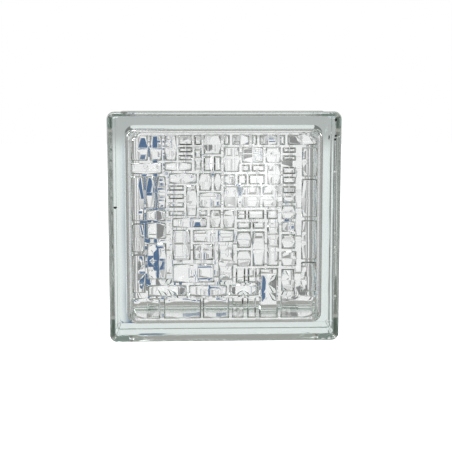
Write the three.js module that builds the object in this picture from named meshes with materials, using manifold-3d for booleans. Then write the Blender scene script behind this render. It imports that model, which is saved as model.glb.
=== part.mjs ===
// A hollow glass block: two square dishes of pressed glass, fused rim to rim at mid-depth.
// Each dish has a flat outer face, a rounded rim flange, a shallow mortar channel round its
// four sides and a relief of rectangular pits pressed into the inner face of its panel, most of
// them with a floor that falls from a ridge across the middle to both ends.
//
// Frame: millimetres, +Z up, the front face towards -Y, the origin at the middle of the
// underside. The block stands on the rims of its two dishes.
import * as THREE from 'three';
import { mergeVertices } from 'three/addons/utils/BufferGeometryUtils.js';
import Module from 'manifold-3d';

const wasm = await Module();
wasm.setup();

// ---- Driving dimensions ------------------------------------------------------------------
const BLOCK_WIDTH = 190; // along X
const BLOCK_HEIGHT = 190; // along Z
const BLOCK_DEPTH = 80; // along Y, outer face to outer face
const CORNER_RADIUS = 6; // outline corners, seen from the front
const EDGE_RADIUS = 3; // between an outer face and its four sides

const RIM_WIDTH = 8; // flat of the rim flange, from the outer face inwards
const RIM_HEEL_RADIUS = 1; // rim flange to the slope behind it
const CHANNEL_DEPTH = 4; // mortar channel, below the rim
const CHANNEL_SLOPE = 5; // run of the slope from the rim down to the channel floor
const SEAM_BEAD_HEIGHT = 0.8; // ridge of glass squeezed out where the dishes are fused
const SEAM_BEAD_WIDTH = 2; // on each side of the seam

const PANEL_THICKNESS = 8; // outer face to the plain bands of the inner face
const SEAM_WALL = 7.5; // side wall at the seam, channel floor to cavity
const CAVITY_DRAFT = 2.5; // how far the side wall thickens from the seam to the panel
const CAVITY_CORNER_RADIUS = 8.5; // corners of the cavity, seen from the front
const PANEL_FILLET = 4; // side wall to panel, inside

const RELIEF_MARGIN = 18.8; // block outline to the first row of pits
const RELIEF_CORNER_RADIUS = 8.5; // the four corner pits follow the cavity's corners
const PIT_DEPTH = 2; // floor of a ridged pit at its two ends
const RIDGE_SHARE = 0.06; // share of that depth left at the ridge across its middle
const TROUGH_SHARE = 0.7; // share of that depth all along the small, level-floored pits
const SIDE_WALL_RUN = 2.3; // how far a ridged pit's long walls lean in at its ends
const END_WALL_RUN = 0.9; // how far its end walls lean in
const TROUGH_WALL_RUN = 1.5; // how far all four walls of a level-floored pit lean in
const WAVE_WALL_RUN = 2.6; // how far the bowed walls of a waved pit lean in
const LEAST_FLOOR = 0.3; // half the width left of a pit's floor where its walls nearly meet
const KNEE_RUN = 0.2; // share of a wall's run taken by its steep upper part
const KNEE_LIMIT = 0.46; // widest steep part
const KNEE_DEPTH = 0.33; // share of a wall's depth taken by its steep part
const PIT_CORNER_RADIUS = 0.5; // a pit's corners, on the panel
const FLOOR_CORNER_RADIUS = 0.35; // a pit's corners, on its floor

const CORNER_STEPS = 6; // facets round each corner
const EDGE_STEPS = 4; // facets round the face edge
const FILLET_STEPS = 5; // facets round the inside fillet
const CURVE_STEPS = 8; // facets along half of a curved pit

// ---- Lofted solids -----------------------------------------------------------------------
// A station is one rounded-rectangle section of the dish: its place in Y, how far it lies
// inside the block's outline, and its corner radius.
const station = (y, inset, corner) => ({ y, inset, corner: Math.max(corner, 0.2) });

function sectionPoints({ y, inset, corner }) {
  const straightX = BLOCK_WIDTH / 2 - inset - corner;
  const straightZ = BLOCK_HEIGHT / 2 - inset - corner;
  const points = [];
  for (const [signX, signZ, start] of [[1, 1, 0], [-1, 1, 1], [-1, -1, 2], [1, -1, 3]]) {
    for (let step = 0; step <= CORNER_STEPS; step++) {
      const angle = (start + step / CORNER_STEPS) * (Math.PI / 2);
      points.push([
        signX * straightX + corner * Math.cos(angle),
        y,
        BLOCK_HEIGHT / 2 + signZ * straightZ + corner * Math.sin(angle),
      ]);
    }
  }
  return points;
}

// Closed solid through a chain of stations, the first at the lowest Y. The first and last
// sections are flat caps.
function loft(stations) {
  const sections = stations.map(sectionPoints);
  const count = sections[0].length;
  const indices = [];
  for (let row = 0; row + 1 < sections.length; row++) {
    for (let i = 0; i < count; i++) {
      const here = row * count + i;
      const next = row * count + ((i + 1) % count);
      indices.push(here, here + count, next, next, here + count, next + count);
    }
  }
  const last = (sections.length - 1) * count;
  for (let i = 1; i + 1 < count; i++) {
    indices.push(0, i, i + 1);
    indices.push(last, last + i + 1, last + i);
  }
  return solid(sections.flat(2), indices);
}

function solid(positions, indices) {
  const geometry = new THREE.BufferGeometry();
  geometry.setAttribute('position', new THREE.Float32BufferAttribute(positions, 3));
  geometry.setIndex(indices);
  const merged = mergeVertices(geometry);
  return new wasm.Manifold(new wasm.Mesh({
    numProp: 3,
    vertProperties: new Float32Array(merged.attributes.position.array),
    triVerts: new Uint32Array(merged.index.array),
  }));
}

// Stations round part of a circle, from the first to the last angle, each made by at.
function arc(at, centreY, centreInset, radius, from, to, steps) {
  return Array.from({ length: steps + 1 }, (_, i) => {
    const angle = from + ((to - from) * i) / steps;
    return at(centreY + radius * Math.sin(angle), centreInset - radius * Math.cos(angle));
  });
}

// ---- The dish ----------------------------------------------------------------------------
const FACE_Y = -BLOCK_DEPTH / 2;
const PANEL_Y = FACE_Y + PANEL_THICKNESS;
const RIM_END_Y = FACE_Y + RIM_WIDTH;
const CHANNEL_START_Y = RIM_END_Y + CHANNEL_SLOPE;
const SEAM_INSET = CHANNEL_DEPTH + SEAM_WALL;
const FILLET_Y = PANEL_Y + PANEL_FILLET;
const FILLET_INSET = SEAM_INSET + CAVITY_DRAFT + PANEL_FILLET;

const outside = (y, inset) => station(y, inset, CORNER_RADIUS - inset);
const inside = (y, inset) => station(y, inset, CAVITY_CORNER_RADIUS);

function dishBody() {
  const quarter = Math.PI / 2;
  const beadInset = CHANNEL_DEPTH - SEAM_BEAD_HEIGHT;
  return loft([
    // outer face, rounded edge, rim flange
    ...arc(outside, FACE_Y + EDGE_RADIUS, EDGE_RADIUS, EDGE_RADIUS, -quarter, 0, EDGE_STEPS),
    outside(RIM_END_Y - RIM_HEEL_RADIUS, 0),
    outside(RIM_END_Y, RIM_HEEL_RADIUS),
    // mortar channel and the bead at the seam
    outside(CHANNEL_START_Y, CHANNEL_DEPTH),
    outside(-SEAM_BEAD_WIDTH, CHANNEL_DEPTH),
    outside(-SEAM_BEAD_WIDTH / 2, beadInset),
    outside(0, beadInset),
    // cavity wall, fillet, panel
    inside(0, SEAM_INSET),
    ...arc(inside, FILLET_Y, FILLET_INSET, PANEL_FILLET, 0, -quarter, FILLET_STEPS),
  ]);
}

// ---- The relief --------------------------------------------------------------------------
// How a pit's floor falls and how far its long walls reach in, from its middle, share 0, to its
// ends, share 1. Hipped pits have end walls that lean as much as their long walls.
const ridged = (share) => RIDGE_SHARE + (1 - RIDGE_SHARE) * share;
const waved = (share) => RIDGE_SHARE + (1 - RIDGE_SHARE) * Math.sin(Math.PI * share);
const squared = (share) => share * share;

const RIDGED = { floor: ridged, reach: ridged, run: SIDE_WALL_RUN };
const HIPPED = { floor: ridged, reach: ridged, run: SIDE_WALL_RUN, hipped: true };
const TROUGH = { floor: () => TROUGH_SHARE, reach: () => 1, run: TROUGH_WALL_RUN, hipped: true };
const LENS = { floor: ridged, reach: squared, run: BLOCK_WIDTH, curved: true };
const VASE = { floor: ridged, reach: Math.sqrt, run: BLOCK_WIDTH, curved: true };
const WAVE = { floor: waved, reach: waved, run: WAVE_WALL_RUN, curved: true };

// A stack of level slats: count pits of one height in a column, with even bands between them.
function slats(left, top, width, height, count, band) {
  const pitch = (height + band) / count;
  return Array.from({ length: count }, (_, i) => (
    [left, top + i * pitch, width, pitch - band, TROUGH]));
}

// Pits are laid out on the panel from the relief's top left corner, as seen from the front:
// [left, top, width, height, shape].
const RELIEF_PLAN_SIDE = 153.5;
const PITS = [
  [0, 0, 14, 21, RIDGED], [15.5, 0, 10, 21, RIDGED], [27.5, 0, 10, 21, RIDGED],
  [39, 0, 11.5, 8.5, TROUGH], [52, 0, 6, 8.5, TROUGH], [59.5, 0, 14.5, 16, RIDGED],
  [76, 0, 5, 8.5, TROUGH], [83, 0, 14, 8.5, RIDGED], [99, 0, 4.5, 8.5, TROUGH],
  [105.5, 0, 14.5, 8.5, RIDGED], [122, 0, 4.5, 8.5, TROUGH], [128.5, 0, 25, 8.5, RIDGED],
  ...slats(39, 10, 11.5, 11, 2, 2), [52, 10, 6, 20, WAVE], [59.5, 17.5, 6.5, 12.5, TROUGH],
  [68, 17.5, 6, 12.5, TROUGH], [76, 10, 13, 20.5, RIDGED], [91, 10, 17.5, 13, RIDGED],
  [110.5, 10, 12.5, 13, RIDGED], ...slats(124.5, 10.5, 11, 11, 2, 2),
  [140.5, 10.5, 13, 24, RIDGED],
  [0, 23, 25.5, 9, RIDGED], [27.5, 22.5, 22.5, 7, RIDGED], [91, 24.5, 6.5, 6, TROUGH],
  [99, 24.5, 11, 6, TROUGH], [112, 24.5, 11, 16.5, RIDGED], ...slats(124.5, 26.5, 11, 30, 4, 2),
  [31, 31.5, 23, 8.5, RIDGED], [55.5, 31.5, 10.5, 14.5, RIDGED], [68, 31.5, 6, 14.5, RIDGED],
  [76, 32.5, 9.5, 8.5, RIDGED], [87.5, 32.5, 7.5, 8.5, TROUGH], [96.5, 32.5, 13.5, 8.5, TROUGH],
  [0, 34, 10.5, 37, RIDGED], [12, 34, 7.5, 26.5, RIDGED], [21, 34, 7.5, 26.5, RIDGED],
  [12, 62, 16.5, 9, RIDGED], [0, 73, 10.5, 24, RIDGED], [12.5, 72.5, 16, 13.5, RIDGED],
  [12.5, 89.5, 16, 30.5, RIDGED], [0, 99, 11, 32.5, RIDGED],
  ...slats(30.5, 41.5, 13, 25.5, 4, 2.5), [45, 41.5, 9, 25.5, RIDGED],
  [55.5, 47.5, 18.5, 12.5, RIDGED], [76, 42.5, 12.5, 17.5, RIDGED],
  [90.5, 42.5, 16, 17.5, RIDGED], [108, 42.5, 12.5, 17.5, RIDGED], [55.5, 62, 7, 5, TROUGH],
  [64.5, 62, 9, 15, RIDGED], [75.5, 62, 9.5, 15, RIDGED], [87, 62, 7.5, 8, TROUGH],
  [96, 62, 13.5, 8, TROUGH], [111.5, 62, 9.5, 8, TROUGH], [33.5, 68.5, 28.5, 8, RIDGED],
  [87, 72, 11.5, 6, TROUGH], [100, 72, 10, 6, TROUGH],
  [33.5, 78.5, 15, 25.5, RIDGED], [50.5, 78.5, 34, 10.5, RIDGED], [87, 80, 11.5, 14, HIPPED],
  [100, 80, 10, 29.5, HIPPED], [50.5, 90.5, 17, 13.5, HIPPED], [71.5, 90.5, 12.5, 32, WAVE],
  [87, 96, 11.5, 13.5, RIDGED], [33.5, 107, 34.5, 16, RIDGED], [86, 111, 8, 12.5, TROUGH],
  [96, 111, 7.5, 12.5, TROUGH], [112, 72, 10, 23, WAVE], [112, 97, 10, 12.5, TROUGH],
  [124, 58.5, 11.5, 11.5, RIDGED], [124, 72, 11.5, 8.5, RIDGED], [124, 82.5, 11.5, 12.5, HIPPED],
  [124, 97, 12.5, 12.5, RIDGED], [124, 112, 11, 19, RIDGED], [140.5, 36.5, 13, 32, RIDGED],
  [140.5, 71, 13, 33, RIDGED], [140.5, 106, 13, 25.5, LENS], [13, 125, 32, 9.5, RIDGED],
  [47, 125, 31.5, 9.5, RIDGED], [80.5, 125, 23, 9.5, RIDGED], [0, 136, 23, 17.5, LENS],
  [26, 136, 31, 17.5, LENS], [58.5, 136, 22, 17.5, LENS], [83, 136, 9.5, 6.5, TROUGH],
  [83, 144.5, 9.5, 9, RIDGED], [95.5, 136, 7.5, 17.5, TROUGH], [105.5, 111, 16, 42.5, VASE],
  [123.5, 134.5, 30, 19, LENS],
];

// A pit's place, size and floor, worked out from its plan and its shape.
function pitFrom([left, top, width, height, shape]) {
  const scale = (BLOCK_WIDTH - 2 * RELIEF_MARGIN) / RELIEF_PLAN_SIDE;
  const alongX = width > height;
  const long = (Math.max(width, height) * scale) / 2;
  const short = (Math.min(width, height) * scale) / 2;
  const centreX = RELIEF_MARGIN - BLOCK_WIDTH / 2 + (left + width / 2) * scale;
  const centreZ = BLOCK_HEIGHT - RELIEF_MARGIN - (top + height / 2) * scale;
  const run = Math.min(shape.run, short - LEAST_FLOOR);
  const endRun = shape.hipped ? run : END_WALL_RUN;
  const reach = long - endRun;
  const share = (u) => Math.min(Math.abs(u) / reach, 1);
  return {
    long,
    short,
    run,
    endRun,
    reach,
    shape,
    floorWidth: (u) => short - run * shape.reach(share(u)),
    floorDepth: (u) => PIT_DEPTH * shape.floor(share(u)),
    onPanel: (u, v, depth) => (alongX
      ? [centreX + u, PANEL_Y - depth, centreZ + v]
      : [centreX - v, PANEL_Y - depth, centreZ + u]),
    isFieldCorner: (signU, signV) => {
      const [signX, signZ] = alongX ? [signU, signV] : [-signV, signU];
      const atSide = signX > 0 ? left + width > RELIEF_PLAN_SIDE - 1 : left < 1;
      const atTopOrFoot = signZ > 0 ? top < 1 : top + height > RELIEF_PLAN_SIDE - 1;
      return atSide && atTopOrFoot;
    },
  };
}

// The walls of one pit, as two chains of columns along its two long sides, from the end at +u
// to the end at -u. A column goes down the wall from the panel's edge over a knee to the floor:
// [edge, knee, foot], each a point [u, v], with u along the pit and v across it.
function pitWalls(pit) {
  const { long, short, run, endRun, reach } = pit;
  const kneeRun = (wallRun) => Math.min(KNEE_RUN * wallRun, KNEE_LIMIT);

  const station = (u, signV) => {
    const floor = pit.floorWidth(u);
    const knee = short - kneeRun(short - floor);
    return [short, knee, floor].map((v) => [u, signV * v]);
  };

  // Columns round one corner, from the end wall to the long wall
  const corner = (signU, signV, steps) => {
    const large = pit.isFieldCorner(signU, signV);
    const radius = large ? Math.min(RELIEF_CORNER_RADIUS, 2 * short - 1) : PIT_CORNER_RADIUS;
    const endWidth = pit.floorWidth(reach);
    const floorRadius = large ? radius - endRun : Math.min(FLOOR_CORNER_RADIUS, endWidth / 2);
    return Array.from({ length: steps + 1 }, (_, i) => {
      const cos = Math.cos((i / steps) * (Math.PI / 2));
      const sin = Math.sin((i / steps) * (Math.PI / 2));
      const edgeU = long - radius * (1 - cos);
      const edgeV = short - radius * (1 - sin);
      const knee = kneeRun(endRun * cos * cos + run * sin * sin);
      const floorU = reach - floorRadius * (1 - cos);
      const floorV = large
        ? Math.min(pit.floorWidth(floorU), short - radius + floorRadius * sin)
        : endWidth - floorRadius * (1 - sin);
      return [
        [signU * edgeU, signV * edgeV],
        [signU * (edgeU - knee * cos), signV * (edgeV - knee * sin)],
        [signU * floorU, signV * floorV],
      ];
    });
  };

  const atEnd = (signU) => {
    const large = pit.isFieldCorner(signU, 1) || pit.isFieldCorner(signU, -1);
    return [1, -1].map((signV) => corner(signU, signV, large ? CORNER_STEPS : 1));
  };
  const ends = [atEnd(1), atEnd(-1)];
  const limit = Math.min(...ends.flat().map((columns) => (
    Math.min(Math.abs(columns.at(-1)[0][0]), Math.abs(columns.at(-1)[2][0])))));
  const marks = Array.from({ length: pit.shape.curved ? CURVE_STEPS - 1 : 0 }, (_, i) => (
    (reach * (i + 1)) / CURVE_STEPS)).filter((u) => u < limit - 0.1);
  const places = [...marks.toReversed(), 0, ...marks.map((u) => -u)];
  return [1, -1].map((signV, side) => [
    ...ends[0][side],
    ...places.map((u) => station(u, signV)),
    ...ends[1][side].toReversed(),
  ]);
}

// The cutter for one pit: three closed rings down its walls, the highest above the panel by
// OVERCUT, closed by strips across the top and along the floor.
const OVERCUT = 0.2;

function pitCutter(plan) {
  const pit = pitFrom(plan);
  const [far, near] = pitWalls(pit);
  const columns = [...far, ...near.toReversed()];
  const levels = columns.map(([edge, knee, foot]) => {
    const depth = pit.floorDepth(foot[0]);
    const rise = OVERCUT / (KNEE_DEPTH * depth);
    return [
      pit.onPanel(edge[0] + (edge[0] - knee[0]) * rise, edge[1] + (edge[1] - knee[1]) * rise, -OVERCUT),
      pit.onPanel(...knee, KNEE_DEPTH * depth),
      pit.onPanel(...foot, depth),
    ];
  });
  const count = columns.length;
  const positions = [0, 1, 2].flatMap((level) => levels.map((points) => points[level])).flat();
  const quads = [];
  for (let i = 0; i < count; i++) {
    const next = (i + 1) % count;
    quads.push([i, next, next + count, i + count]);
    quads.push([i + count, next + count, next + 2 * count, i + 2 * count]);
  }
  for (let i = 0; i + 1 < far.length; i++) {
    const across = count - 1 - i;
    quads.push([i + 1, i, across, across - 1]);
    quads.push([i + 2 * count, i + 1 + 2 * count, across - 1 + 2 * count, across + 2 * count]);
  }
  return solid(positions, quads.flatMap(([a, b, c, d]) => [a, b, c, a, c, d]));
}

// ---- The two halves ----------------------------------------------------------------------
function geometryOf(manifold) {
  const { vertProperties, triVerts } = manifold.getMesh();
  const geometry = new THREE.BufferGeometry();
  geometry.setAttribute('position', new THREE.Float32BufferAttribute(vertProperties, 3));
  geometry.setIndex(Array.from(triVerts));
  geometry.computeVertexNormals();
  return geometry;
}

const glass = new THREE.MeshStandardMaterial({
  name: 'glass', color: 0xd3e2dc, roughness: 0.05, metalness: 0, transparent: true, opacity: 0.4,
});
const dish = geometryOf(dishBody().subtract(wasm.Manifold.union(PITS.map(pitCutter))));

const block = new THREE.Group();
for (const [name, turn] of [['front_half', 0], ['back_half', Math.PI]]) {
  const half = new THREE.Mesh(dish, glass);
  half.name = name;
  half.rotation.z = turn;
  block.add(half);
}

export default block;
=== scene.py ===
"""Looks for the hollow glass block: one fused shell of clear pressed glass on a pale floor."""

import math

import bmesh
import bpy
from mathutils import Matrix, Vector
from mathutils.geometry import delaunay_2d_cdt


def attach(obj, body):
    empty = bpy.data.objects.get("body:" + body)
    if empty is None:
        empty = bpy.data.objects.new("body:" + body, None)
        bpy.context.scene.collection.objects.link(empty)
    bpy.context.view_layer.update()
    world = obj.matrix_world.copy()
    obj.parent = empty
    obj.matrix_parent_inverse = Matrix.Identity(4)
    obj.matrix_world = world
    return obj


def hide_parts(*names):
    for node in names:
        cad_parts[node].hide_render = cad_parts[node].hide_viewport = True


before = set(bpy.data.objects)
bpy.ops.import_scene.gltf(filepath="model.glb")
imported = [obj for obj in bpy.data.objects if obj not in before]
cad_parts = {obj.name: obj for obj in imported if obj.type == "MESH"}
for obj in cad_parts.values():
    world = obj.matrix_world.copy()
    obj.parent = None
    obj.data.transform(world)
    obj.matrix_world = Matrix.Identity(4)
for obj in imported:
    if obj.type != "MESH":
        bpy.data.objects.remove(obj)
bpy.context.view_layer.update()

MM = 0.001

# ---- The block's sections, in millimetres ----------------------------------------------------
WIDTH, HEIGHT, DEPTH = 190.0, 190.0, 80.0
CORNER_RADIUS = 6.0
EDGE_RADIUS = 3.0
RIM_WIDTH = 8.0
RIM_HEEL_RADIUS = 1.0
CHANNEL_DEPTH = 4.0
CHANNEL_SLOPE = 5.0
SEAM_BEAD_HEIGHT = 0.8
SEAM_BEAD_WIDTH = 2.0
PANEL_THICKNESS = 8.0
SEAM_WALL = 7.5
CAVITY_DRAFT = 2.5
CAVITY_CORNER_RADIUS = 8.5
PANEL_FILLET = 4.0

# Small roundings of the channel: a share of a quarter turn round the rim's heel, then how far
# the points round the slope's toe and the bead's foot lie along the depth and above the floor
HEEL_SHARE = 0.55
TOE_REACH, TOE_RISE = 1.2, 0.75
TOE_BEND, BEND_RISE = 0.1, 0.12
BEAD_FOOT_OUTSIDE, BEAD_FOOT_INSIDE = 0.4, 0.3
BEAD_SHOULDER = 0.1
LEAST_CORNER = 0.2

RELIEF_MARGIN = 18.8
RELIEF_CORNER_RADIUS = 8.5
RELIEF_PLAN_SIDE = 153.5
PIT_DEPTH = 2.0

# Floors and walls of the pits, as shares of their depth and run or in millimetres. The knee is
# where a wall's steep upper part ends: KNEE_* and TROUGH_KNEE_* belong to the front panel and
# SOFT_* to the back one, whose edges are rounder
RIDGE_SHARE = 0.06
TROUGH_SHARE = 0.7
SIDE_WALL_RUN = 2.3
END_WALL_RUN = 1.2
TROUGH_WALL_RUN = 1.6
WAVE_WALL_RUN = 2.6
LEAST_FLOOR = 0.3
KNEE_RUN = 0.6
KNEE_LIMIT = 1.4
KNEE_DEPTH = 0.95
TROUGH_KNEE_RUN = 0.8
TROUGH_KNEE_DEPTH = 0.95
SOFT_KNEE = 0.5
SOFT_ROUNDING = 6
PIT_CORNER_RADIUS = 0.5
FOOT_CORNER_RADIUS = 0.35
EDGE_ROUNDING = 0.2
KNEE_ROUNDING = 0.15
FOOT_ROUNDING = 0.2
RIDGE_ROUNDING = 0.4
UPPER_LIMIT, LOWER_LIMIT = 0.4, 0.35
FOOT_SHARE = 0.5
STATION_GAP = 0.1
BORDER_REACH = 1
NEARLY_ZERO = 1e-6
WELD_2D = 1e-5
WELD = 1e-6

# Steps round each curve
EDGE_STEPS = 8
HEEL_STEPS = 3
FILLET_STEPS = 12
CORNER_STEPS = 12
PIT_CORNER_STEPS = 3
FIELD_CORNER_STEPS = 10
CURVE_STEPS = 10

FACE_Y = -DEPTH / 2
PANEL_Y = FACE_Y + PANEL_THICKNESS
SEAM_INSET = CHANNEL_DEPTH + SEAM_WALL
PANEL_INSET = SEAM_INSET + CAVITY_DRAFT


# ---- Ring meshes ---------------------------------------------------------------------------
class Shell:
    """Vertices and faces of one surface, built up ring by ring."""

    def __init__(self):
        self.points = []
        self.faces = []

    def ring(self, points):
        first = len(self.points)
        self.points.extend(points)
        return list(range(first, len(self.points)))

    def band(self, lower, upper):
        count = len(lower)
        for i in range(count):
            j = (i + 1) % count
            self.faces.append((lower[i], lower[j], upper[j], upper[i]))


def section(y, inset, corner, steps):
    """One rounded square round the Y axis, counter-clockwise as seen from the front."""
    corner = max(corner, LEAST_CORNER)
    straight_x = WIDTH / 2 - inset - corner
    straight_z = HEIGHT / 2 - inset - corner
    points = []
    for quarter, (sign_x, sign_z) in enumerate([(1, 1), (-1, 1), (-1, -1), (1, -1)]):
        for step in range(steps + 1):
            angle = (quarter + step / steps) * math.pi / 2
            points.append((
                sign_x * straight_x + corner * math.cos(angle),
                y,
                HEIGHT / 2 + sign_z * straight_z + corner * math.sin(angle),
            ))
    return points


def arc(centre_y, centre_inset, radius, start, end, steps):
    """(y, inset) pairs round part of a circle."""
    pairs = []
    for step in range(steps + 1):
        angle = start + (end - start) * step / steps
        pairs.append((centre_y + radius * math.sin(angle), centre_inset - radius * math.cos(angle)))
    return pairs


def outer_stations():
    """(y, inset) of the outer surface, from the front face to the seam."""
    quarter = math.pi / 2
    bead = CHANNEL_DEPTH - SEAM_BEAD_HEIGHT
    rim_end = FACE_Y + RIM_WIDTH
    channel_start = rim_end + CHANNEL_SLOPE
    return [
        *arc(FACE_Y + EDGE_RADIUS, EDGE_RADIUS, EDGE_RADIUS, -quarter, 0, EDGE_STEPS),
        *arc(rim_end - RIM_HEEL_RADIUS, RIM_HEEL_RADIUS, RIM_HEEL_RADIUS,
             0, quarter * HEEL_SHARE, HEEL_STEPS),
        (channel_start - TOE_REACH, CHANNEL_DEPTH - TOE_RISE),
        (channel_start - TOE_BEND, CHANNEL_DEPTH - BEND_RISE),
        (channel_start + TOE_REACH, CHANNEL_DEPTH),
        (-SEAM_BEAD_WIDTH - BEAD_FOOT_OUTSIDE, CHANNEL_DEPTH),
        (-SEAM_BEAD_WIDTH + BEAD_FOOT_INSIDE, CHANNEL_DEPTH - BEND_RISE),
        (-SEAM_BEAD_WIDTH / 2, bead + BEAD_SHOULDER),
        (-SEAM_BEAD_WIDTH / 4, bead),
    ]


def cavity_stations():
    """(y, inset) of the cavity's wall, from the seam to the front panel."""
    centre = PANEL_INSET + PANEL_FILLET
    return [
        (0.0, SEAM_INSET),
        *arc(PANEL_Y + PANEL_FILLET, centre, PANEL_FILLET, 0, -math.pi / 2, FILLET_STEPS),
    ]


def half_turn(points):
    """Points turned half a turn about the vertical, as the back dish is."""
    return [(-x, -y, z) for x, y, z in points]


# ---- The relief ----------------------------------------------------------------------------
def ridged(share):
    """Share of a pit's depth, or of its walls' run, that rises evenly from the ridge to the end."""
    return RIDGE_SHARE + (1 - RIDGE_SHARE) * share


def waved(share):
    """The same, but largest halfway to the end and small again at it."""
    return RIDGE_SHARE + (1 - RIDGE_SHARE) * math.sin(math.pi * share)


class Shape:
    """How a pit's floor falls and how far its long walls reach in, from its middle to its ends."""

    def __init__(self, floor, reach, run, hipped=False, curved=False,
                 knee=(KNEE_RUN, KNEE_DEPTH)):
        self.floor, self.reach, self.run = floor, reach, run
        self.hipped, self.curved = hipped, curved
        self.knee_run, self.knee_depth = knee


RIDGED = Shape(ridged, ridged, SIDE_WALL_RUN)
HIPPED = Shape(ridged, ridged, SIDE_WALL_RUN, hipped=True)
TROUGH = Shape(lambda share: TROUGH_SHARE, lambda share: 1, TROUGH_WALL_RUN, hipped=True,
               knee=(TROUGH_KNEE_RUN, TROUGH_KNEE_DEPTH))
LENS = Shape(ridged, lambda share: share * share, WIDTH, curved=True)
VASE = Shape(ridged, math.sqrt, WIDTH, curved=True)
WAVE = Shape(waved, waved, WAVE_WALL_RUN, curved=True)


def slats(left, top, width, height, count, band):
    """A stack of level slats with even bands between them."""
    pitch = (height + band) / count
    return [(left, top + i * pitch, width, pitch - band, TROUGH) for i in range(count)]


# (left, top, width, height, shape) from the relief's top left corner, as seen from the front
PITS = [
    (0, 0, 14, 21, RIDGED), (15.5, 0, 10, 21, RIDGED), (27.5, 0, 10, 21, RIDGED),
    (39, 0, 11.5, 8.5, TROUGH), (52, 0, 6, 8.5, TROUGH), (59.5, 0, 14.5, 16, RIDGED),
    (76, 0, 5, 8.5, TROUGH), (83, 0, 14, 8.5, RIDGED), (99, 0, 4.5, 8.5, TROUGH),
    (105.5, 0, 14.5, 8.5, RIDGED), (122, 0, 4.5, 8.5, TROUGH), (128.5, 0, 25, 8.5, RIDGED),
    *slats(39, 10, 11.5, 11, 2, 2), (52, 10, 6, 20, WAVE), (59.5, 17.5, 6.5, 12.5, TROUGH),
    (68, 17.5, 6, 12.5, TROUGH), (76, 10, 13, 20.5, RIDGED), (91, 10, 17.5, 13, RIDGED),
    (110.5, 10, 12.5, 13, RIDGED), *slats(124.5, 10.5, 11, 11, 2, 2),
    (140.5, 10.5, 13, 24, RIDGED),
    (0, 23, 25.5, 9, RIDGED), (27.5, 22.5, 22.5, 7, RIDGED), (91, 24.5, 6.5, 6, TROUGH),
    (99, 24.5, 11, 6, TROUGH), (112, 24.5, 11, 16.5, RIDGED), *slats(124.5, 26.5, 11, 30, 4, 2),
    (31, 31.5, 23, 8.5, RIDGED), (55.5, 31.5, 10.5, 14.5, RIDGED), (68, 31.5, 6, 14.5, RIDGED),
    (76, 32.5, 9.5, 8.5, RIDGED), (87.5, 32.5, 7.5, 8.5, TROUGH), (96.5, 32.5, 13.5, 8.5, TROUGH),
    (0, 34, 10.5, 37, RIDGED), (12, 34, 7.5, 26.5, RIDGED), (21, 34, 7.5, 26.5, RIDGED),
    (12, 62, 16.5, 9, RIDGED), (0, 73, 10.5, 24, RIDGED), (12.5, 72.5, 16, 13.5, RIDGED),
    (12.5, 89.5, 16, 30.5, RIDGED), (0, 99, 11, 32.5, RIDGED),
    *slats(30.5, 41.5, 13, 25.5, 4, 2.5), (45, 41.5, 9, 25.5, RIDGED),
    (55.5, 47.5, 18.5, 12.5, RIDGED), (76, 42.5, 12.5, 17.5, RIDGED),
    (90.5, 42.5, 16, 17.5, RIDGED), (108, 42.5, 12.5, 17.5, RIDGED), (55.5, 62, 7, 5, TROUGH),
    (64.5, 62, 9, 15, RIDGED), (75.5, 62, 9.5, 15, RIDGED), (87, 62, 7.5, 8, TROUGH),
    (96, 62, 13.5, 8, TROUGH), (111.5, 62, 9.5, 8, TROUGH), (33.5, 68.5, 28.5, 8, RIDGED),
    (87, 72, 11.5, 6, TROUGH), (100, 72, 10, 6, TROUGH),
    (33.5, 78.5, 15, 25.5, RIDGED), (50.5, 78.5, 34, 10.5, RIDGED), (87, 80, 11.5, 14, HIPPED),
    (100, 80, 10, 29.5, HIPPED), (50.5, 90.5, 17, 13.5, HIPPED), (71.5, 90.5, 12.5, 32, WAVE),
    (87, 96, 11.5, 13.5, RIDGED), (33.5, 107, 34.5, 16, RIDGED), (86, 111, 8, 12.5, TROUGH),
    (96, 111, 7.5, 12.5, TROUGH), (112, 72, 10, 23, WAVE), (112, 97, 10, 12.5, TROUGH),
    (124, 58.5, 11.5, 11.5, RIDGED), (124, 72, 11.5, 8.5, RIDGED), (124, 82.5, 11.5, 12.5, HIPPED),
    (124, 97, 12.5, 12.5, RIDGED), (124, 112, 11, 19, RIDGED), (140.5, 36.5, 13, 32, RIDGED),
    (140.5, 71, 13, 33, RIDGED), (140.5, 106, 13, 25.5, LENS), (13, 125, 32, 9.5, RIDGED),
    (47, 125, 31.5, 9.5, RIDGED), (80.5, 125, 23, 9.5, RIDGED), (0, 136, 23, 17.5, LENS),
    (26, 136, 31, 17.5, LENS), (58.5, 136, 22, 17.5, LENS), (83, 136, 9.5, 6.5, TROUGH),
    (83, 144.5, 9.5, 9, RIDGED), (95.5, 136, 7.5, 17.5, TROUGH), (105.5, 111, 16, 42.5, VASE),
    (123.5, 134.5, 30, 19, LENS),
]


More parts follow.
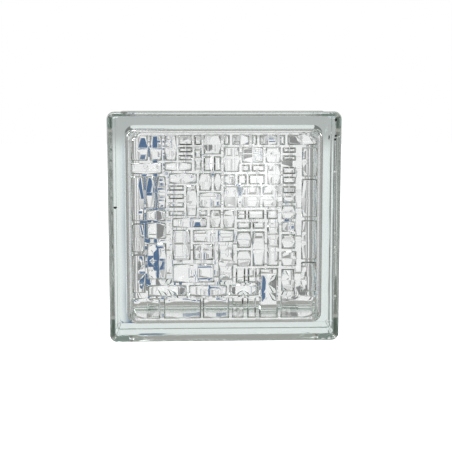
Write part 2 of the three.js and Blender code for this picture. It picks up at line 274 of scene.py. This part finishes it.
class Pit:
    """One pit: its outline on the panel, the knee and the foot of its walls, and its floor."""

    def __init__(self, crisp, left, top, width, height, shape):
        self.crisp = crisp
        scale = (WIDTH - 2 * RELIEF_MARGIN) / RELIEF_PLAN_SIDE
        size_x, size_z = width * scale, height * scale
        self.x = RELIEF_MARGIN - WIDTH / 2 + (left + width / 2) * scale
        self.z = HEIGHT - RELIEF_MARGIN - (top + height / 2) * scale
        self.along_x = size_x > size_z
        self.long, self.short = max(size_x, size_z) / 2, min(size_x, size_z) / 2
        self.shape = shape
        self.run = min(shape.run, self.short - LEAST_FLOOR)
        self.end_run = self.run if shape.hipped or not crisp else END_WALL_RUN
        self.reach = self.long - self.end_run
        at_left, at_top = left < BORDER_REACH, top < BORDER_REACH
        at_right = left + width > RELIEF_PLAN_SIDE - BORDER_REACH
        at_bottom = top + height > RELIEF_PLAN_SIDE - BORDER_REACH
        self.field_corner = {
            (1, 1): at_right and at_top, (-1, 1): at_left and at_top,
            (-1, -1): at_left and at_bottom, (1, -1): at_right and at_bottom,
        }

    def share(self, along):
        """How far along the floor a point lies, from the ridge, 0, to the foot of an end, 1."""
        along = min(abs(along), self.reach)
        rounding = min(RIDGE_ROUNDING, self.reach / 4)
        if along < rounding:
            along = (along * along / rounding + rounding) / 2
        return along / self.reach

    def depth(self, along):
        return PIT_DEPTH * self.shape.floor(self.share(along))

    def floor_width(self, along):
        """Half the floor's width at a place along the pit."""
        return self.short - self.run * self.shape.reach(self.share(along))

    def knee(self, run):
        """How far in the steep upper part of a wall reaches."""
        return min(self.shape.knee_run * run, KNEE_LIMIT) if self.crisp else SOFT_KNEE * run

    def knee_depth(self, floor):
        return (self.shape.knee_depth if self.crisp else SOFT_KNEE) * floor

    def plan(self, u, v):
        """Panel coordinates of a point along and across the pit."""
        return (self.x + u, self.z + v) if self.along_x else (self.x - v, self.z + u)

    def is_field_corner(self, sign_u, sign_v):
        signs = (sign_u, sign_v) if self.along_x else (-sign_v, sign_u)
        return self.field_corner[signs]

    def stations(self, corners):
        """Places along the pit between its corners, from +u to -u."""
        rounding = min(RIDGE_ROUNDING, self.reach / 4)
        marks = [rounding / 2, rounding]
        if self.shape.curved:
            marks += [self.reach * step / CURVE_STEPS for step in range(1, CURVE_STEPS)]
        ends = [point for corner in corners for point in (corner[-1][0], corner[-1][2])]
        limit = min(abs(point[0]) for point in ends)
        marks = sorted(mark for mark in marks if mark < limit - STATION_GAP)
        return [*marks[::-1], 0, *(-mark for mark in marks)]

    def sides(self):
        """Columns down the walls of the two long sides, each from the end at +u to that at -u."""
        steps = {}
        for u in (1, -1):
            large = self.is_field_corner(u, 1) or self.is_field_corner(u, -1)
            steps[u] = FIELD_CORNER_STEPS if large else PIT_CORNER_STEPS
        corners = {(u, v): self.corner(u, v, steps[u]) for u in (1, -1) for v in (1, -1)}
        places = self.stations(corners.values())
        return [
            [*corners[1, v], *(self.station(u, v) for u in places), *corners[-1, v][::-1]]
            for v in (1, -1)
        ]

    def station(self, u, sign_v):
        """(edge, knee, foot, direction in from the edge) of the wall at a place along the pit."""
        run = self.short - self.floor_width(u)
        knee = self.short - self.knee(run)
        foot = self.floor_width(u)
        return ((u, sign_v * self.short), (u, sign_v * knee), (u, sign_v * foot), (0, -sign_v))

    def corner(self, sign_u, sign_v, steps):
        """Columns round one corner, from the end wall to the long wall."""
        large = self.is_field_corner(sign_u, sign_v)
        radius = min(RELIEF_CORNER_RADIUS, 2 * self.short - 1) if large else PIT_CORNER_RADIUS
        last_width = self.floor_width(self.reach)
        small_radius = min(FOOT_CORNER_RADIUS, FOOT_SHARE * last_width)
        foot_radius = radius - self.end_run if large else small_radius
        made = []
        for step in range(steps + 1):
            angle = step / steps * math.pi / 2
            cos, sin = math.cos(angle), math.sin(angle)
            edge_u, edge_v = self.long - radius * (1 - cos), self.short - radius * (1 - sin)
            foot_u = self.reach - foot_radius * (1 - cos)
            if large:
                foot_v = min(self.floor_width(foot_u), self.short - radius + foot_radius * sin)
            else:
                foot_v = last_width - foot_radius * (1 - sin)
            knee = self.knee(self.end_run * cos * cos + self.run * sin * sin)
            made.append((
                (sign_u * edge_u, sign_v * edge_v),
                (sign_u * (edge_u - knee * cos), sign_v * (edge_v - knee * sin)),
                (sign_u * foot_u, sign_v * foot_v),
                (-sign_u * cos, -sign_v * sin),
            ))
        return made


def toward(start, end, distance):
    """The point at a distance from start on the way to end."""
    share = distance / max(math.dist(start, end), NEARLY_ZERO)
    return tuple(a + (b - a) * share for a, b in zip(start, end))


def wall_profile(pit, column):
    """Points down the wall, (u, v, depth), from the panel over edge, knee and foot to the floor."""
    edge, knee, foot, inward = column
    floor = pit.depth(foot[0])
    edge, knee, foot = (*edge, 0.0), (*knee, pit.knee_depth(floor)), (*foot, floor)
    upper, lower = math.dist(edge, knee), math.dist(knee, foot)
    rounding = 1 if pit.crisp else SOFT_ROUNDING
    edge_size = min(EDGE_ROUNDING * rounding, UPPER_LIMIT * upper)
    knee_size = min(KNEE_ROUNDING * rounding, LOWER_LIMIT * upper, LOWER_LIMIT * lower)
    foot_size = min(FOOT_ROUNDING * rounding, LOWER_LIMIT * lower, UPPER_LIMIT * abs(foot[1]))
    outside = (edge[0] - inward[0] * edge_size, edge[1] - inward[1] * edge_size, 0.0)
    below_edge = toward(edge, knee, edge_size)
    above_foot = toward(foot, knee, foot_size)
    along = max(math.dist(knee[:2], foot[:2]), NEARLY_ZERO)
    inner = [foot[i] + (foot[i] - knee[i]) / along * foot_size for i in (0, 1)]
    inner = (*inner, pit.depth(inner[0]))
    return [
        outside,
        toward(edge, tuple((a + b) / 2 for a, b in zip(outside, below_edge)), edge_size / 4),
        below_edge,
        toward(knee, edge, knee_size),
        toward(knee, foot, knee_size),
        above_foot,
        toward(foot, tuple((a + b) / 2 for a, b in zip(above_foot, inner)), foot_size / 4),
        inner,
    ]


def add_pit(shell, pit):
    """Walls, rounded edges and floor of one pit. Returns the ring that lies on the panel."""
    far, near = pit.sides()
    profiles = [wall_profile(pit, column) for column in far + near[::-1]]
    rings = []
    for level in zip(*profiles):
        points = []
        for u, v, depth in level:
            x, z = pit.plan(u, v)
            points.append((x, PANEL_Y - depth, z))
        rings.append(shell.ring(points))
    for upper, lower in zip(rings, rings[1:]):
        shell.band(upper, lower)
    floor_far, floor_near = rings[-1][:len(far)], rings[-1][len(far):][::-1]
    for i in range(len(far) - 1):
        shell.faces.append((floor_far[i], floor_far[i + 1], floor_near[i + 1], floor_near[i]))
    return rings[0]


def add_panel(shell, border, crisp):
    """The plain bands of the panel between the pits, inside the border ring."""
    pits = [Pit(crisp, *plan) for plan in PITS]
    rings = [border] + [add_pit(shell, pit) for pit in pits]
    loops = [[(shell.points[i][0], shell.points[i][2]) for i in ring] for ring in rings[1:]]
    indices = [index for ring in rings for index in ring]
    flat = [Vector((shell.points[i][0], shell.points[i][2])) for i in indices]
    edges, start = [], 0
    for ring in rings:
        count = len(ring)
        edges.extend((start + i, start + (i + 1) % count) for i in range(count))
        start += count
    verts, _, faces, originals, _, _ = delaunay_2d_cdt(flat, edges, [], 1, WELD_2D)
    own = []
    for i, vert in enumerate(verts):
        if originals[i]:
            own.append(indices[originals[i][0]])
        else:
            own.extend(shell.ring([(vert.x, PANEL_Y, vert.y)]))
    for face in faces:
        centre = sum((verts[i] for i in face), Vector((0, 0))) / len(face)
        if not any(inside(loop, centre) for loop in loops):
            shell.faces.append(tuple(own[i] for i in face))


def inside(loop, point):
    """Whether a point lies inside a closed loop of panel points."""
    within = False
    for (ax, az), (bx, bz) in zip(loop, loop[1:] + loop[:1]):
        if (az > point.y) != (bz > point.y):
            if point.x < ax + (bx - ax) * (point.y - az) / (bz - az):
                within = not within
    return within


# ---- Building the glass --------------------------------------------------------------------
def build_outer(shell):
    """The outer skin of both dishes, with the front and the back face."""
    half = [section(y, inset, CORNER_RADIUS - inset, CORNER_STEPS)
            for y, inset in outer_stations()]
    back = [[(x, -y, z) for x, y, z in ring] for ring in half[::-1]]
    rings = [shell.ring(points) for points in half + back]
    for near, far in zip(rings, rings[1:]):
        shell.band(near, far)
    shell.faces.append(tuple(rings[0][::-1]))
    shell.faces.append(tuple(rings[-1]))


def build_cavity_half(crisp):
    """The cavity's skin in one dish, from the seam to the panel with its relief."""
    shell = Shell()
    rings = [
        shell.ring(section(y, inset, CAVITY_CORNER_RADIUS, CORNER_STEPS))
        for y, inset in cavity_stations()
    ]
    for near, far in zip(rings, rings[1:]):
        shell.band(near, far)
    add_panel(shell, rings[-1], crisp)
    return shell


def to_bmesh(parts, target_sign):
    """Welds point and face lists into one closed bmesh with its normals the given way."""
    made = bmesh.new()
    for points, faces in parts:
        verts = [made.verts.new([c * MM for c in p]) for p in points]
        for face in faces:
            made.faces.new([verts[i] for i in face])
    bmesh.ops.remove_doubles(made, verts=made.verts, dist=WELD)
    bmesh.ops.recalc_face_normals(made, faces=made.faces)
    if made.calc_volume(signed=True) * target_sign < 0:
        bmesh.ops.reverse_faces(made, faces=made.faces)
    return made


def glass_mesh():
    """Outer skin and cavity skin in one mesh, the cavity's normals towards the air inside."""
    outer = Shell()
    build_outer(outer)
    front, back = build_cavity_half(True), build_cavity_half(False)
    shells = [
        to_bmesh([(outer.points, outer.faces)], 1),
        to_bmesh([(front.points, front.faces), (half_turn(back.points), back.faces)], -1),
    ]
    mesh = bpy.data.meshes.new("glass_block")
    joined = bmesh.new()
    for shell in shells:
        part = bpy.data.meshes.new("part")
        shell.to_mesh(part)
        joined.from_mesh(part)
        bpy.data.meshes.remove(part)
        shell.free()
    joined.to_mesh(mesh)
    joined.free()
    mesh.polygons.foreach_set("use_smooth", [True] * len(mesh.polygons))
    return mesh


STRONGEST = 100
block = bpy.data.objects.new("fused_glass_block", glass_mesh())
bpy.context.scene.collection.objects.link(block)
weighted = block.modifiers.new("weighted_normals", "WEIGHTED_NORMAL")
weighted.mode = "FACE_AREA"
weighted.weight = STRONGEST
weighted.keep_sharp = False
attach(block, "root")
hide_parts("front_half", "back_half")


# ---- Materials -----------------------------------------------------------------------------
GLASS_IOR = 1.52
GLASS_TINT = (0.2, 0.46, 0.40, 1)
TINT_DENSITY = 4.0
WAVES_SCALE = 45
WAVES_HEIGHT = 0.00004
DEEPEST_PATH = 4.5
CLEAR_TINT = (0.9, 0.94, 0.92, 1)


def new_material(name):
    material = bpy.data.materials.new(name)
    material.use_nodes = True
    material.node_tree.nodes.clear()
    return material, material.node_tree.nodes, material.node_tree.links


def glass_material():
    """Clear tinted glass, slightly wavy. Shadow rays and rays past DEEPEST_PATH go straight on."""
    material, nodes, links = new_material("pressed_glass")
    output = nodes.new("ShaderNodeOutputMaterial")
    glass = nodes.new("ShaderNodeBsdfPrincipled")
    glass.inputs["Base Color"].default_value = (1, 1, 1, 1)
    glass.inputs["Roughness"].default_value = 0.0
    glass.inputs["IOR"].default_value = GLASS_IOR
    glass.inputs["Transmission Weight"].default_value = 1.0
    place = nodes.new("ShaderNodeTexCoord")
    waves = nodes.new("ShaderNodeTexNoise")
    waves.inputs["Scale"].default_value = WAVES_SCALE
    waves.inputs["Detail"].default_value = 0.0
    links.new(place.outputs["Object"], waves.inputs["Vector"])
    bump = nodes.new("ShaderNodeBump")
    bump.inputs["Strength"].default_value = 1.0
    bump.inputs["Distance"].default_value = WAVES_HEIGHT
    links.new(waves.outputs["Fac"], bump.inputs["Height"])
    links.new(bump.outputs["Normal"], glass.inputs["Normal"])
    clear = nodes.new("ShaderNodeBsdfTransparent")
    clear.inputs["Color"].default_value = CLEAR_TINT
    path = nodes.new("ShaderNodeLightPath")
    mix = nodes.new("ShaderNodeMixShader")
    deep = nodes.new("ShaderNodeMath")
    deep.operation = "GREATER_THAN"
    deep.inputs[1].default_value = DEEPEST_PATH
    links.new(path.outputs["Ray Depth"], deep.inputs[0])
    passes = nodes.new("ShaderNodeMath")
    passes.operation = "MAXIMUM"
    links.new(path.outputs["Is Shadow Ray"], passes.inputs[0])
    links.new(deep.outputs[0], passes.inputs[1])
    links.new(passes.outputs[0], mix.inputs["Fac"])
    links.new(glass.outputs["BSDF"], mix.inputs[1])
    links.new(clear.outputs["BSDF"], mix.inputs[2])
    links.new(mix.outputs["Shader"], output.inputs["Surface"])
    tint = nodes.new("ShaderNodeVolumeAbsorption")
    tint.inputs["Color"].default_value = GLASS_TINT
    tint.inputs["Density"].default_value = TINT_DENSITY
    links.new(tint.outputs["Volume"], output.inputs["Volume"])
    return material


block.data.materials.append(glass_material())

# ---- Seeds in the glass and chips on its edges -----------------------------------------------
# The pale seeds are the block's small bubbles, made as white lumps whose paleness is painted
# reflection
# (x, z, half width, half height) in millimetres on the front face, as seen from the front
PAINTED_BUBBLE_SHINE = [
    (90, 141, 1.5, 1), (90.5, 90.5, 1, 1), (90.5, 78.5, 1, 1.5), (90.5, 74.5, 1, 1), (91, 38, 1, 1),
]
DARK_SEEDS = [
    (90, 183.5, 1, 1.5), (90, 170.5, 1, 1), (89.5, 167.5, 1, 1), (84.5, 169, 0.5, 2),
    (-89, 112.5, 1.5, 1), (-81, 189, 3, 0.5),
]
EDGE_CHIPS = [
    (82, 2, 2, 0.5), (87, 2.5, 1.5, 1), (89.5, 2.5, 1, 0.5), (91.5, 3, 1, 1), (92.5, 2.5, 0.5, 0.5),
]
SEED_DEPTH = 0.35
CHIP_DEPTH = 0.2
BULGE = 0.22
BULGE_WAVES = (5, 3)
BULGE_SHIFT = 7
FLATNESS = 0.8
SPECKLE_SCALE = 2500
SPECKLE_DETAIL = 3
SPECKLE_RANGE = (0.35, 0.65)
SPECKLE_ROUGHNESS = 0.6


def face_point(x, z, depth):
    """A point that deep in the front face or in its rounded edge."""
    inset_x, inset_z = WIDTH / 2 - abs(x), HEIGHT / 2 - abs(z - HEIGHT / 2)
    inset = min(inset_x, inset_z)
    if max(inset_x, inset_z) < CORNER_RADIUS:
        inset = CORNER_RADIUS - math.hypot(CORNER_RADIUS - inset_x, CORNER_RADIUS - inset_z)
    fall = max(EDGE_RADIUS - inset, 0.0)
    y = FACE_Y + EDGE_RADIUS - math.sqrt(EDGE_RADIUS ** 2 - fall ** 2)
    inward = (EDGE_RADIUS - depth) / EDGE_RADIUS
    centre_y = FACE_Y + EDGE_RADIUS
    towards_middle = fall * (1 - inward)
    if inset_z < inset_x:
        z += towards_middle if z < HEIGHT / 2 else -towards_middle
    else:
        x += towards_middle if x < 0 else -towards_middle
    return Vector((x, centre_y + (y - centre_y) * inward, z))


def grains(name, places, depth, dark, pale):
    """One small uneven lump at each place, just under the surface, for stones, chips of broken
    glass and bubbles, whose white colour is painted reflection.
    """
    made = bmesh.new()
    for number, (x, z, half_width, half_height) in enumerate(places):
        centre = face_point(x, z, depth)
        lump = bmesh.ops.create_icosphere(made, subdivisions=2, radius=1)["verts"]
        for vert in lump:
            turn = BULGE_WAVES[0] * vert.co.x + BULGE_WAVES[1] * vert.co.z + BULGE_SHIFT * number
            bulge = 1 + BULGE * math.sin(turn)
            vert.co = Vector((vert.co.x * half_width * bulge, vert.co.y * depth * FLATNESS,
                              vert.co.z * half_height * bulge)) + centre
            vert.co *= MM
    mesh = bpy.data.meshes.new(name)
    made.to_mesh(mesh)
    made.free()
    mesh.polygons.foreach_set("use_smooth", [True] * len(mesh.polygons))
    piece = bpy.data.objects.new(name, mesh)
    bpy.context.scene.collection.objects.link(piece)
    mesh.materials.append(grain_material(name, dark, pale))
    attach(piece, "root")


def grain_material(name, dark, pale):
    """Dull speckled surface between a dark and a pale colour, for stones, broken glass, and white
    lumps whose paleness is painted bubble shine.
    """
    material, nodes, links = new_material(name + "_surface")
    place = nodes.new("ShaderNodeTexCoord")
    noise = nodes.new("ShaderNodeTexNoise")
    noise.inputs["Scale"].default_value = SPECKLE_SCALE
    noise.inputs["Detail"].default_value = SPECKLE_DETAIL
    links.new(place.outputs["Object"], noise.inputs["Vector"])
    ramp = nodes.new("ShaderNodeValToRGB")
    low, high = ramp.color_ramp.elements
    low.position, high.position = SPECKLE_RANGE
    low.color, high.color = (*dark, 1), (*pale, 1)
    links.new(noise.outputs["Fac"], ramp.inputs["Fac"])
    surface = nodes.new("ShaderNodeBsdfPrincipled")
    surface.inputs["Roughness"].default_value = SPECKLE_ROUGHNESS
    links.new(ramp.outputs["Color"], surface.inputs["Base Color"])
    output = nodes.new("ShaderNodeOutputMaterial")
    links.new(surface.outputs["BSDF"], output.inputs["Surface"])
    return material


# White lumps in place of bubbles: their pale colour is painted bubble shine
grains("bubble_shine_painted", PAINTED_BUBBLE_SHINE, SEED_DEPTH, (0.7, 0.72, 0.69), (0.95, 0.97, 0.94))
grains("dark_seeds", DARK_SEEDS, SEED_DEPTH, (0.008, 0.008, 0.006), (0.05, 0.05, 0.045))
grains("edge_chips", EDGE_CHIPS, CHIP_DEPTH, (0.6, 0.62, 0.6), (0.95, 0.97, 0.96))

# ---- Camera --------------------------------------------------------------------------------
# Place in millimetres, angles in degrees: how far it looks down, how far it is turned to the
# right, and how far it leans
SENSOR_WIDTH = 36
FOCAL_LENGTH = 59.69
SHIFT_UP = -0.11
CAMERA_PLACE = (-16.8, -644.1, 196.2)
LOOK_DOWN, TURN_RIGHT, LEAN = 5.52, 1.69, 0.02

camera_data = bpy.data.cameras.new("camera")
camera = bpy.data.objects.new("camera", camera_data)
bpy.context.scene.collection.objects.link(camera)
camera_data.sensor_width = SENSOR_WIDTH
camera_data.lens = FOCAL_LENGTH
camera_data.shift_y = SHIFT_UP
camera.location = Vector(CAMERA_PLACE) * MM
camera.rotation_mode = "XYZ"
camera.rotation_euler = [math.radians(angle) for angle in (90 - LOOK_DOWN, LEAN, -TURN_RIGHT)]
bpy.context.scene.camera = camera


# ---- Floor, lamp and surroundings ----------------------------------------------------------
class Nodes:
    """Short forms for the few maths nodes that the surroundings use."""

    def __init__(self, tree):
        self.tree = tree

    def add(self, kind, **settings):
        node = self.tree.nodes.new(kind)
        for name, value in settings.items():
            setattr(node, name, value)
        return node

    def link(self, source, socket):
        if isinstance(source, (int, float, tuple)):
            socket.default_value = source
        else:
            self.tree.links.new(source, socket)

    def math(self, operation, first, second=0.0):
        node = self.add("ShaderNodeMath", operation=operation)
        self.link(first, node.inputs[0])
        self.link(second, node.inputs[1])
        return node.outputs[0]

    def step(self, value, low, high):
        """Rises smoothly from 0 at low to 1 at high."""
        node = self.add("ShaderNodeMapRange", interpolation_type="SMOOTHSTEP")
        self.link(value, node.inputs["Value"])
        node.inputs["From Min"].default_value = low
        node.inputs["From Max"].default_value = high
        return node.outputs["Result"]

    def window(self, value, low, high, soft):
        """1 between low and high, with soft edges."""
        rise = self.step(value, low - soft / 2, low + soft / 2)
        fall = self.step(value, high - soft / 2, high + soft / 2)
        return self.math("SUBTRACT", rise, fall)

    def blend(self, factor, first, second):
        node = self.add("ShaderNodeMix", data_type="RGBA")
        self.link(factor, node.inputs["Factor"])
        self.link(first, node.inputs["A"])
        self.link(second, node.inputs["B"])
        return node.outputs["Result"]


# The camera sees a pale floor just under the block, with the block's faint shadow on it. Every
# other ray passes through it to the surroundings
FLOOR_REACH = 3
FLOOR_GAP = 0.0002
FLOOR_COLOUR = (0.85, 0.85, 0.85, 1)
FLOOR_GLOW = 0.7
corners = [(-1, -1), (1, -1), (1, 1), (-1, 1)]
floor_mesh = bpy.data.meshes.new("floor")
floor_mesh.from_pydata(
    [(x * FLOOR_REACH, y * FLOOR_REACH, 0) for x, y in corners], [], [(0, 1, 2, 3)])
floor = bpy.data.objects.new("floor", floor_mesh)
floor.location.z = -FLOOR_GAP
bpy.context.scene.collection.objects.link(floor)

material, nodes, links = new_material("pale_floor")
path = nodes.new("ShaderNodeLightPath")
paint = nodes.new("ShaderNodeBsdfDiffuse")
paint.inputs["Color"].default_value = FLOOR_COLOUR
glow = nodes.new("ShaderNodeEmission")
glow.inputs["Strength"].default_value = FLOOR_GLOW
both = nodes.new("ShaderNodeAddShader")
links.new(paint.outputs[0], both.inputs[0])
links.new(glow.outputs[0], both.inputs[1])
clear = nodes.new("ShaderNodeBsdfTransparent")
pick = nodes.new("ShaderNodeMixShader")
links.new(path.outputs["Is Camera Ray"], pick.inputs["Fac"])
links.new(clear.outputs[0], pick.inputs[1])
links.new(both.outputs[0], pick.inputs[2])
output = nodes.new("ShaderNodeOutputMaterial")
links.new(pick.outputs[0], output.inputs["Surface"])
floor_mesh.materials.append(material)

# The room that the glass sees round it, on a white ground: ceiling and floor, the dark room
# behind the camera, the side walls, the grey edges and the horizon of the white panel, a blue
# sheet and a lamp. Bearings are degrees to the right of straight behind the block, heights are
# degrees above the horizon: (bearing range, height range, softness of the two, colour). A later
# row lies over the earlier ones
SURROUNDINGS = [
    ((-200, 200), (30, 90), (9, 6), (0.4, 0.4, 0.38)),
    ((-200, 200), (-90, -30), (9, 6), (0.4, 0.4, 0.38)),
    ((-200, -165), (-45, 35), (4, 8), (0.07, 0.07, 0.06)),
    ((165, 200), (-45, 35), (4, 8), (0.07, 0.07, 0.06)),
    ((-165, -110), (-45, 35), (4, 8), (0.6, 0.6, 0.6)),
    ((110, 165), (-45, 35), (4, 8), (0.6, 0.6, 0.6)),
    ((-110, -50), (-45, 35), (5, 8), (0.2, 0.2, 0.18)),
    ((50, 110), (-45, 35), (5, 8), (0.2, 0.2, 0.18)),
    ((-50, -25), (-35, 30), (4, 8), (0.4, 0.4, 0.4)),
    ((25, 50), (-35, 30), (4, 8), (0.4, 0.4, 0.4)),
    ((-15, -10), (-25, 30), (1, 4), (0.25, 0.25, 0.25)),
    ((10, 15), (-25, 30), (1, 4), (0.25, 0.25, 0.25)),
    ((-25, 25), (-3, 0), (5, 2), (0.6, 0.6, 0.6)),
    ((-6, -3), (-20, -3), (1, 2), (0.1, 0.18, 0.32)),
    ((174, 178), (-8, -3), (3, 3), (4, 4, 4)),
]
DEGREES = 180 / math.pi
WHITE = (1, 1, 1, 1)
LAMP_SIDE = 1.2
LAMP_POWER = 18
LAMP_PLACE = (-0.9, -0.9, 1.6)
LAMP_AIM = (0, 0, 0.05)

world = bpy.data.worlds.new("surroundings")
bpy.context.scene.world = world
world.use_nodes = True
world.node_tree.nodes.clear()
tools = Nodes(world.node_tree)
place = tools.add("ShaderNodeTexCoord")
axes = tools.add("ShaderNodeSeparateXYZ")
tools.link(place.outputs["Generated"], axes.inputs[0])
bearing = tools.math("ARCTAN2", axes.outputs["X"], axes.outputs["Y"])
bearing = tools.math("MULTIPLY", bearing, DEGREES)
height = tools.math("MULTIPLY", tools.math("ARCSINE", axes.outputs["Z"]), DEGREES)
colour = WHITE
for (left, right), (low, high), (soft_across, soft_up), tint in SURROUNDINGS:
    across = tools.window(bearing, left, right, soft_across)
    patch = tools.math("MULTIPLY", across, tools.window(height, low, high, soft_up))
    colour = tools.blend(patch, colour, (*tint, 1))
ray = tools.add("ShaderNodeLightPath")
in_glass = tools.math("ADD", ray.outputs["Is Glossy Ray"], ray.outputs["Is Transmission Ray"])
colour = tools.blend(in_glass, WHITE, colour)
background = tools.add("ShaderNodeBackground")
tools.link(colour, background.inputs["Color"])
output = tools.add("ShaderNodeOutputWorld")
tools.link(background.outputs[0], output.inputs["Surface"])

lamp_data = bpy.data.lights.new("softbox", "AREA")
lamp_data.shape = "RECTANGLE"
lamp_data.size, lamp_data.size_y = LAMP_SIDE, LAMP_SIDE
lamp_data.energy = LAMP_POWER
lamp = bpy.data.objects.new("softbox", lamp_data)
lamp.location = LAMP_PLACE
lamp.rotation_euler = (Vector(LAMP_AIM) - lamp.location).to_track_quat("-Z", "Y").to_euler()
bpy.context.scene.collection.objects.link(lamp)

bpy.context.scene.view_settings.view_transform = "Standard"
